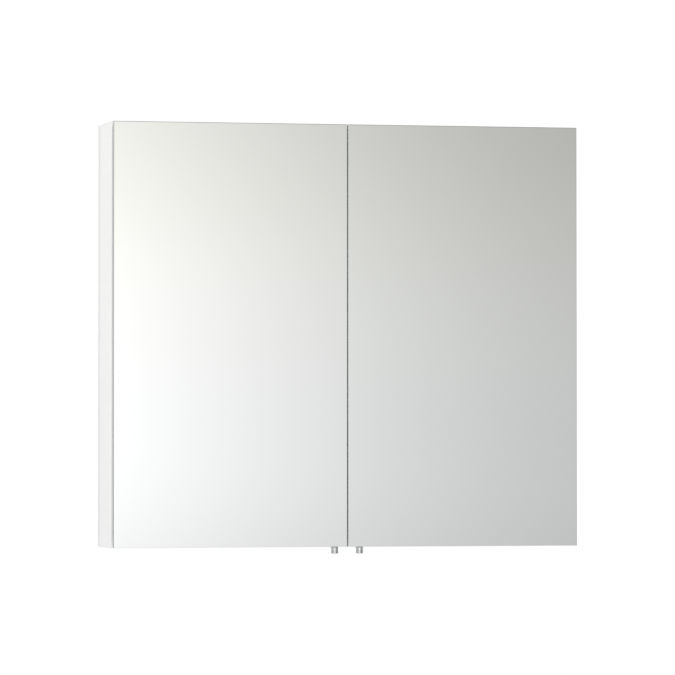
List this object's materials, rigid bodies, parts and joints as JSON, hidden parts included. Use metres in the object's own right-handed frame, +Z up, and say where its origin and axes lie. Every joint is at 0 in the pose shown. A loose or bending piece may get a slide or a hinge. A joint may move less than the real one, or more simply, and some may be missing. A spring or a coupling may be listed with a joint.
{
  "type": "medicine cabinet with mirror",
  "caption": "Wall-hung bathroom cabinet with mirrored doors on continuous side hinges, glass shelves, knobs under the doors and adjustable hangers on wall plates.",
  "frame": {"origin": "in the wall plane, at the middle of the rectangle of wall screws", "axes": "+X to the right as seen from the front, doors face -Y, +Y into the wall, +Z up"},
  "size_m": [0.8, 0.1415, 0.7215],
  "materials": {
    "white_board": "white melamine-faced chipboard, satin",
    "white_hardboard": "thin board with a white face, matt",
    "edge_band": "white edging, satin",
    "beech": "plain fluted dowel",
    "zinc_steel": "bright zinc plated",
    "hinge_steel": "satin rolled steel",
    "polished_chrome": "polished",
    "white_plastic": "moulded, semi-gloss",
    "shelf_glass": "clear float glass, ground edges",
    "mirror_glass": "silvered glass with a ground edge",
    "backing_board": "dark grey board behind the glass",
    "magnet": "dark ferrite",
    "clear_rubber": "clear soft buffer"
  },
  "bodies": {
    "cabinet": {"left_side_panel": "white_board", "right_side_panel": "white_board", "top_panel": "white_board", "bottom_panel": "white_board", "centre_partition": "white_board", "back_board": "white_hardboard", "front_edge_bands": "edge_band", "panel_dowels": "beech", "cam_locks": "zinc_steel", "cam_bolts": "zinc_steel", "cam_caps": "white_plastic", "left_lower_shelf": "shelf_glass", "right_lower_shelf": "shelf_glass", "left_upper_shelf": "shelf_glass", "right_upper_shelf": "shelf_glass", "shelf_pins": "polished_chrome", "left_hanger_housing": "white_plastic", "right_hanger_housing": "white_plastic", "left_hanger_hook": "zinc_steel", "right_hanger_hook": "zinc_steel", "hanger_screws": "zinc_steel", "left_hanger_cover": "white_plastic", "right_hanger_cover": "white_plastic", "left_wall_plate": "zinc_steel", "right_wall_plate": "zinc_steel", "left_hinge_frame_leaf": "hinge_steel", "right_hinge_frame_leaf": "hinge_steel", "left_hinge_pin": "hinge_steel", "right_hinge_pin": "hinge_steel", "hinge_frame_screws": "zinc_steel", "catch_housings": "white_plastic", "catch_magnets": "magnet", "catch_screws": "zinc_steel"},
    "left_door": {"left_front_mirror": "mirror_glass", "left_backing_board": "backing_board", "left_inner_mirror": "mirror_glass", "left_hinge_door_leaf": "hinge_steel", "left_hinge_rivets": "hinge_steel", "left_strike_plates": "zinc_steel", "left_strike_screws": "zinc_steel", "left_door_buffers": "clear_rubber", "left_knob_bracket": "polished_chrome", "left_knob": "polished_chrome", "left_knob_screws": "zinc_steel"},
    "right_door": {"right_front_mirror": "mirror_glass", "right_backing_board": "backing_board", "right_inner_mirror": "mirror_glass", "right_hinge_door_leaf": "hinge_steel", "right_hinge_rivets": "hinge_steel", "right_strike_plates": "zinc_steel", "right_strike_screws": "zinc_steel", "right_door_buffers": "clear_rubber", "right_knob_bracket": "polished_chrome", "right_knob": "polished_chrome", "right_knob_screws": "zinc_steel"}
  },
  "joints": [
    {"name": "left_door_hinge", "type": "hinge", "parent": "cabinet", "child": "left_door", "pos_m": [-0.3985, -0.13025, -0.275], "axis": [0, 0, -1], "range_deg": [0, 110]},
    {"name": "right_door_hinge", "type": "hinge", "parent": "cabinet", "child": "right_door", "pos_m": [0.3985, -0.13025, -0.275], "axis": [0, 0, 1], "range_deg": [0, 110]}
  ]
}
